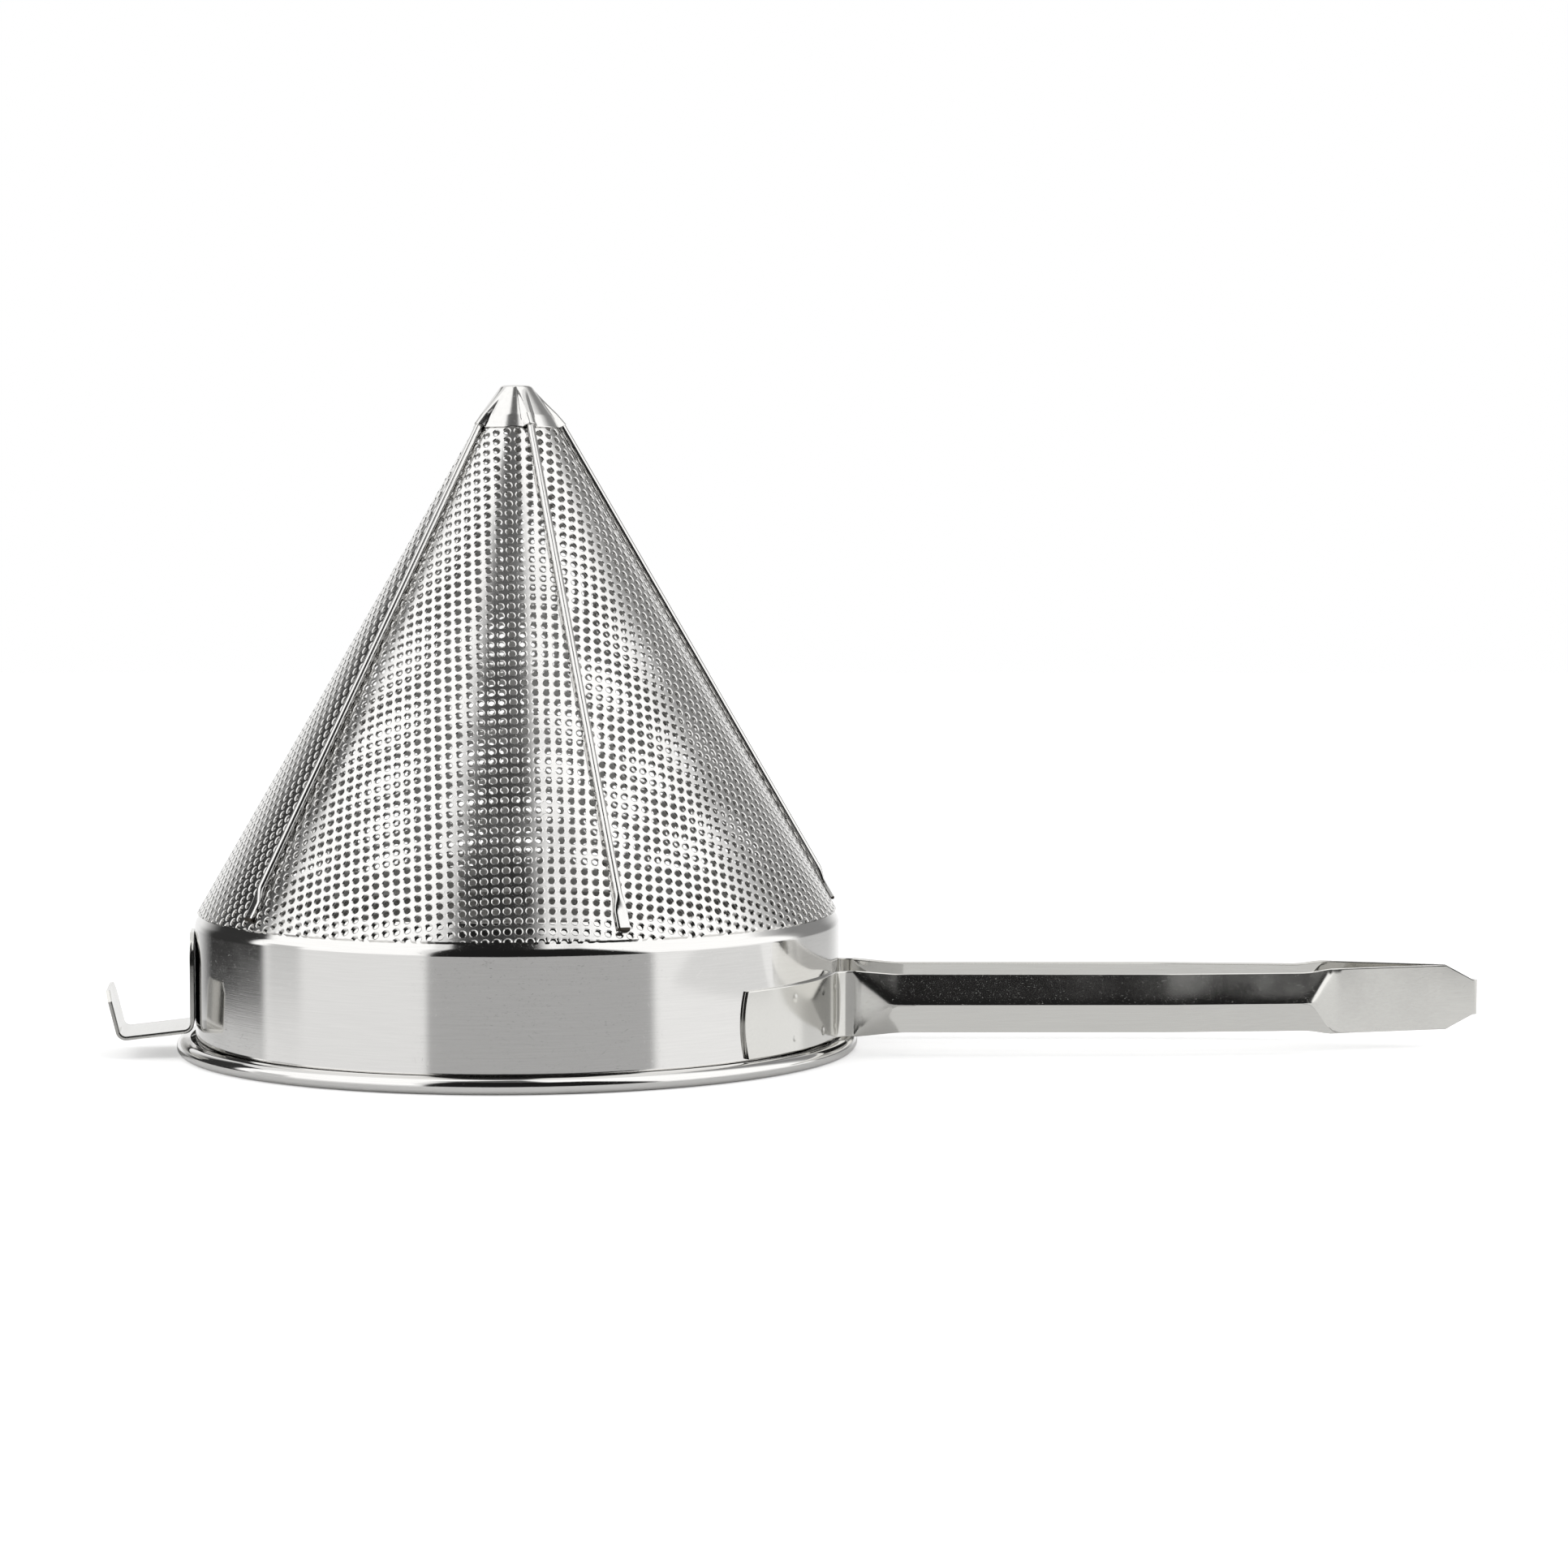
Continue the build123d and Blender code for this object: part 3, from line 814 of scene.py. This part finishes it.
class STRAINER_OT_handle_strap(bpy.types.Operator):
    """Lay the handle's strip round the band and out to its folded end"""

    bl_idname = "strainer.handle_strap"
    bl_label = "Handle strap"

    # Rows of places round the band, round the bend, on each run of the arm and round the
    # fold, and columns across the strip
    wrap_rows = 101
    bend_rows = 19
    arm_rows = (34, 40, 24, 16, 24, 24, 12)
    fold_rows = 9
    columns = 51
    # How far each bend of the arm is eased either way, and in how many steps
    ease_reach = 3 * MM
    ease_steps = 13
    # Over this length the bulge of the free end fades
    bulge_fade = 10 * MM
    # Azimuths of the spot welds on each side, in degrees from the handle's middle
    weld_azimuths = (13.5, 20.5, 31.5)

    def arm_curve(self, places, knots, values):
        """Values between the knots along the arm: straight runs, with each bend eased."""
        to_ends = np.minimum(places - knots[0], knots[-1] - places)
        ease = np.minimum(self.ease_reach, to_ends)
        shifts = np.linspace(-1, 1, self.ease_steps)
        return np.mean([np.interp(places + ease * s, knots, values) for s in shifts], axis=0)

    def execute(self, context):
        scene = context.scene
        band = scene.strainer_band
        strap = scene.strainer_strap
        wrap_radius = band.outer_radius + band.joint_gap + strap.sheet / 2
        bend_y = strap.arm_spacing / 2 + strap.root_spread + strap.arm_bend
        bend_x = math.sqrt((wrap_radius + strap.arm_bend) ** 2 - bend_y**2)
        bend_turn = math.atan2(bend_y, bend_x)
        middle = band.rim_height + strap.above_rim + strap.width / 2
        folded = strap.fold_half_gap + strap.sheet / 2
        across = np.linspace(-1, 1, self.columns)

        # Rows round the band, from the free end to the bend: the end is cut to an arc
        wrap_length = (strap.wrap_angle - bend_turn) * wrap_radius
        run = np.linspace(0, wrap_length, self.wrap_rows)[:, None]
        fade = np.clip(1 - run / self.bulge_fade, 0, 1)
        run = run + strap.end_bulge * fade * across**2
        turn = strap.wrap_angle - run / wrap_radius
        z = middle + across * strap.width / 2
        inwards = np.zeros_like(run)
        for azimuth in self.weld_azimuths:
            for side in (-1, 1):
                height = middle + side * (strap.width / 2 - strap.weld_inset)
                aside = (turn - math.radians(azimuth)) * wrap_radius
                away = np.hypot(aside, z - height) / strap.weld_radius
                inwards += strap.weld_depth * np.exp(-(away**4))
        radius = wrap_radius - inwards
        wrap = table_of(radius * np.cos(turn), radius * np.sin(turn), z)

        # Rows round the bend
        swing = np.linspace(bend_turn + math.pi, 1.5 * math.pi, self.bend_rows)[1:, None]
        x = bend_x + strap.arm_bend * np.cos(swing)
        y = bend_y + strap.arm_bend * np.sin(swing)
        z = middle + across * strap.width / 2
        bend = table_of(x, y, z)

        # Rows along the arm
        spread = strap.arm_spacing / 2
        knots = [bend_x]
        halves = [spread + strap.root_spread]
        creases = [0]
        for station, share, creased in ARM_STATIONS:
            knots.append(station * MM)
            halves.append(spread * share)
            creases.append(creased * strap.crease_depth)
        knots += [FOLD_FROM * MM, FOLD_END * MM]
        halves += [folded, folded]
        creases += [0, 0]
        rows = [
            np.linspace(start, end, count, endpoint=False)
            for start, end, count in zip(knots, knots[1:], self.arm_rows)
        ]
        x = np.concatenate([*rows, [knots[-1]]])[1:]
        half = self.arm_curve(x, knots, halves)[:, None]
        crease = self.arm_curve(x, knots, creases)[:, None]
        widths = [strap.width] * (len(knots) - 1) + [strap.fold_width]
        # Above and below the flat middle, the strip is folded back by a fixed angle
        fold_angle = math.asin(2 * strap.crease_depth / strap.width)
        from_middle = np.abs(across) * np.interp(x, knots, widths)[:, None] / 2
        folded_back = crease / math.sin(fold_angle)
        softness = np.minimum(strap.crease_softness, folded_back / 2)
        past_fold = from_middle - np.interp(x, knots, widths)[:, None] / 2 + folded_back
        past_fold = (past_fold + np.sqrt(past_fold**2 + softness**2)) / 2
        y = half + crease - past_fold * math.sin(fold_angle)
        z = middle + np.sign(across) * (from_middle - past_fold * (1 - math.cos(fold_angle)))
        arm = table_of(x[:, None], y, z)

        # Rows round the fold, up to the middle plane
        swing = np.linspace(QUARTER_TURN, 0, self.fold_rows)[1:, None]
        x = knots[-1] + folded * np.cos(swing)
        y = folded * np.sin(swing)
        z = middle + across * strap.fold_width / 2
        fold = table_of(x, y, z)

        half_strap = np.concatenate([wrap, bend, arm, fold])
        other_half = half_strap[-2::-1] * np.array([1, -1, 1])
        piece = grid_sheet("handle_strap_strip", np.concatenate([half_strap, other_half]))
        thicken(piece, strap.sheet, 0, PLATE_EDGE_ROUND)
        settle(piece, steel(scene, "satin_polished_strip"), "strap_steel", "handle_strap")
        return {"FINISHED"}


class STRAINER_OT_pan_hook(bpy.types.Operator):
    """Bend the hook's plate and set it on the band opposite the handle"""

    bl_idname = "strainer.pan_hook"
    bl_label = "Pan hook"

    # Rows of places in each bend, at the leg's round corners and at the tongue's cut ones
    bend_steps = 12
    corner_rows = 13
    chamfer_rows = 3
    columns = 25

    def execute(self, context):
        scene = context.scene
        band = scene.strainer_band
        hook = scene.strainer_hook
        leg = band.outer_radius + band.joint_gap + hook.sheet / 2
        web = band.rim_height + hook.above_rim + hook.sheet / 2
        far = leg + hook.reach
        tip = web - hook.web_drop + hook.tongue_rise
        corners = [
            (leg, band.shoulder_height - hook.leg_below_shoulder),
            (leg, web),
            (far, web - hook.web_drop),
            (far + hook.tongue_lean, tip),
        ]
        bent = rounded_path(corners, [hook.bend, hook.bend], self.bend_steps)
        run = np.concatenate([[0], np.cumsum([(b - a).length for a, b in zip(bent, bent[1:])])])
        # Rows close together where the corners are cut, and at the bends
        turns = np.linspace(0, QUARTER_TURN, self.corner_rows)
        rounded = hook.leg_corner * (1 - np.cos(turns))
        cut = run[-1] - np.linspace(hook.chamfer, 0, self.chamfer_rows)
        rows = np.unique(np.round(np.concatenate([run, rounded, cut]), 7))
        x = np.interp(rows, run, [point.x for point in bent])
        z = np.interp(rows, run, [point.y for point in bent])
        short = np.clip(hook.leg_corner - rows, 0, None)
        half = hook.width / 2 - hook.leg_corner + np.sqrt(hook.leg_corner**2 - short**2)
        half = half - np.clip(rows - run[-1] + hook.chamfer, 0, None)
        across = np.linspace(-1, 1, self.columns)
        table = table_of(x[:, None], half[:, None] * across, z[:, None])
        piece = grid_sheet("pan_hook_plate", table)
        thicken(piece, hook.sheet, 0, PLATE_EDGE_ROUND)
        piece.data.transform(Matrix.Rotation(hook.azimuth, 4, "Z"))
        settle(piece, steel(scene, "satin_polished_plate"), "strap_steel", "pan_hook")
        return {"FINISHED"}


class STRAINER_OT_stage(bpy.types.Operator):
    """Set up the floor, the studio light and the camera"""

    bl_idname = "strainer.stage"
    bl_label = "Studio stage"

    # What hangs round the object in the white studio, laid over each other in this order:
    # from and to azimuth, counted from the camera towards +X, from and to elevation, how soft
    # the upright and the level edges are, all in degrees, the edges' slant in degrees of
    # azimuth for each degree of elevation, and the brightness
    cards = (
        ("table", -400, 400, -95, -10, 1, 6, 0, 0.8),
        ("dim table on the left", -155, -90, -12, -4, 12, 4, 0, 0.76),
        ("dark wall on the left", -143, -80, -7.1, 36, 22, 0.6, 0, 0.04),
        ("dark wall on the right", 116, 158, -6, 60, 24, 8, 0, 0.3),
        ("left softbox", -102.5, -28.5, 0, 92, 5, 8, 0.117, 1.4),
        ("left softbox, lower part", -96.5, -28, -30, 1, 5, 6, 0, 1),
        ("grey wall beside it", -94, -78, -7, 14, 6, 0.9, 0, 0.72),
        ("table edge", -28, 56, -30, -5, 3, 2, 0, 0.52),
        ("dark gap between them", -27, 60, -4.5, 60, 3, 2, 0, 0.015),
        ("dark ceiling", -38, 14, 57, 90, 12, 3, 0, 0.15),
        ("right softbox", 50, 119, -3, 88, 8, 8, 0.34, 1.4),
        ("right softbox, lower part", 49.5, 119, -30, -2, 4.5, 6, 0.34, 1.1),
        ("right softbox, top corner", 15, 60, 51.8, 88, 8, 4, 0, 1.4),
    )
    floor_size = 8
    floor_drop = 0.1 * MM
    shaded_sides = 96
    shaded_drop = 0.05 * MM
    card_size = 0.26
    card_place = (0.462, -0.145, 0)
    card_strength = 0.92
    camera_place = (0.1028, -1.45, 0.1972)
    camera_tilt = math.radians(86.245)

    def cover(self, tree, measure, low, high, softness):
        """How far a direction lies between two angles, from 0 to 1, with soft edges."""
        middle = math.radians((low + high) / 2)
        away = add_node(tree, "ShaderNodeMath", {0: measure, 1: middle}, operation="SUBTRACT")
        distance = add_node(tree, "ShaderNodeMath", {0: away}, operation="ABSOLUTE")
        extent = (high - low) / 2
        inputs = {
            "Value": distance,
            "From Min": math.radians(extent + softness / 2),
            "From Max": math.radians(extent - softness / 2),
        }
        return add_node(tree, "ShaderNodeMapRange", inputs, interpolation_type="SMOOTHSTEP")

    def execute(self, context):
        scene = context.scene
        add_grid = bpy.ops.mesh.primitive_grid_add
        cells = {"x_subdivisions": 2, "y_subdivisions": 2}
        floor = add_shape("studio_floor", add_grid, size=self.floor_size, **cells)
        floor.data.transform(Matrix.Translation((0, 0, -self.floor_drop)))
        floor.visible_glossy = False
        # Metal mirrors only the floor that the mouth shades, and the studio's cards elsewhere
        disc = {"vertices": self.shaded_sides, "radius": scene.strainer_stage.shaded_radius}
        disc["fill_type"] = "NGON"
        shaded = add_shape("shaded_floor", bpy.ops.mesh.primitive_circle_add, **disc)
        shaded.data.transform(Matrix.Translation((0, 0, -self.shaded_drop)))
        # A white card lies in front of the handle's end, only to be mirrored by it
        card = add_shape("white_card", add_grid, size=self.card_size, **cells)
        card.data.transform(Matrix.Translation(self.card_place))
        card.visible_camera = False
        card.visible_diffuse = False
        card.visible_shadow = False
        # Evenly lit white card
        material, tree = new_material("lit_white_card")
        inputs = {"Color": (1, 1, 1, 1), "Strength": self.card_strength}
        lit = add_node(tree, "ShaderNodeEmission", inputs)
        add_node(tree, "ShaderNodeOutputMaterial", {"Surface": lit})
        card.data.materials.append(material)
        # Matt white floor, lit a little from within: only the object's shadow is below white
        material, tree = new_material("matt_white_floor")
        seen = add_node(tree, "ShaderNodeLightPath", {}).outputs["Is Camera Ray"]
        inputs = {"Color": (*scene.strainer_stage.floor, 1)}
        diffuse = add_node(tree, "ShaderNodeBsdfDiffuse", inputs)
        inputs = {"Color": (*scene.strainer_stage.glow, 1), "Strength": seen}
        glow = add_node(tree, "ShaderNodeEmission", inputs)
        both = add_node(tree, "ShaderNodeAddShader", {0: diffuse, 1: glow})
        add_node(tree, "ShaderNodeOutputMaterial", {"Surface": both})
        floor.data.materials.append(material)
        shaded.data.materials.append(material)

        world = bpy.data.worlds.new("white_studio")
        scene.world = world
        world.use_nodes = True
        tree = world.node_tree
        tree.nodes.clear()
        direction = add_node(tree, "ShaderNodeTexCoord", {}).outputs["Generated"]
        parts = add_node(tree, "ShaderNodeSeparateXYZ", {"Vector": direction}).outputs
        toward = add_node(tree, "ShaderNodeMath", {0: parts["Y"], 1: -1}, operation="MULTIPLY")
        sides = {0: parts["X"], 1: toward}
        around = add_node(tree, "ShaderNodeMath", sides, operation="ARCTAN2")
        above = add_node(tree, "ShaderNodeMath", {0: parts["Z"]}, operation="ARCSINE")
        level = 1
        for label, left, right, low, high, side_soft, level_soft, slant, shade in self.cards:
            inputs = {0: above, 1: slant, 2: around}
            slanted = add_node(tree, "ShaderNodeMath", inputs, operation="MULTIPLY_ADD")
            beside = self.cover(tree, slanted, left, right, side_soft)
            inputs = {0: beside, 1: self.cover(tree, above, low, high, level_soft)}
            both = add_node(tree, "ShaderNodeMath", inputs, operation="MULTIPLY")
            inputs = {"Factor": both, "A": level, "B": shade}
            level = add_node(tree, "ShaderNodeMix", inputs, label=label)
        # The camera sees plain white behind the object
        seen = add_node(tree, "ShaderNodeLightPath", {}).outputs["Is Camera Ray"]
        plain = add_node(tree, "ShaderNodeMix", {"Factor": seen, "A": level, "B": 1})
        background = add_node(tree, "ShaderNodeBackground", {"Color": plain, "Strength": 1})
        add_node(tree, "ShaderNodeOutputWorld", {"Surface": background})

        camera_data = bpy.data.cameras.new("camera")
        camera_data.sensor_width = 36
        camera_data.lens = scene.strainer_stage.lens
        camera_data.clip_start = 0.01
        camera_data.clip_end = 100
        camera = bpy.data.objects.new("camera", camera_data)
        scene.collection.objects.link(camera)
        camera.location = self.camera_place
        camera.rotation_euler = (self.camera_tilt, 0, 0)
        scene.camera = camera
        scene.view_settings.view_transform = "Standard"
        return {"FINISHED"}


class VIEW3D_PT_strainer(bpy.types.Panel):
    """Lists the strainer's pieces and sizes"""

    bl_idname = "VIEW3D_PT_strainer"
    bl_label = "Conical strainer"
    bl_space_type = "VIEW_3D"
    bl_region_type = "UI"
    bl_category = "Strainer"

    def draw(self, context):
        for operator, group_name in STEPS:
            box = self.layout.box()
            box.operator(operator.bl_idname)
            group = getattr(context.scene, group_name)
            for name in group.__annotations__:
                box.prop(group, name)


GROUPS = {
    "strainer_band": BandShape,
    "strainer_cone": ConeShape,
    "strainer_cap": CapShape,
    "strainer_wire": WireShape,
    "strainer_strap": StrapShape,
    "strainer_hook": HookShape,
    "strainer_finish": Finish,
    "strainer_stage": StageLook,
}
STEPS = (
    (STRAINER_OT_body_band, "strainer_band"),
    (STRAINER_OT_punched_cone, "strainer_cone"),
    (STRAINER_OT_tip_cap, "strainer_cap"),
    (STRAINER_OT_support_wires, "strainer_wire"),
    (STRAINER_OT_handle_strap, "strainer_strap"),
    (STRAINER_OT_pan_hook, "strainer_hook"),
    (STRAINER_OT_stage, "strainer_stage"),
)
CLASSES = (*GROUPS.values(), *(operator for operator, _ in STEPS), VIEW3D_PT_strainer)


def register():
    for cls in CLASSES:
        bpy.utils.register_class(cls)
    for name, group in GROUPS.items():
        setattr(bpy.types.Scene, name, PointerProperty(type=group))


def unregister():
    for name in GROUPS:
        delattr(bpy.types.Scene, name)
    for cls in reversed(CLASSES):
        bpy.utils.unregister_class(cls)


def main():
    register()
    for operator, _ in STEPS:
        area, name = operator.bl_idname.split(".")
        getattr(getattr(bpy.ops, area), name)()


if __name__ == "__main__":
    main()
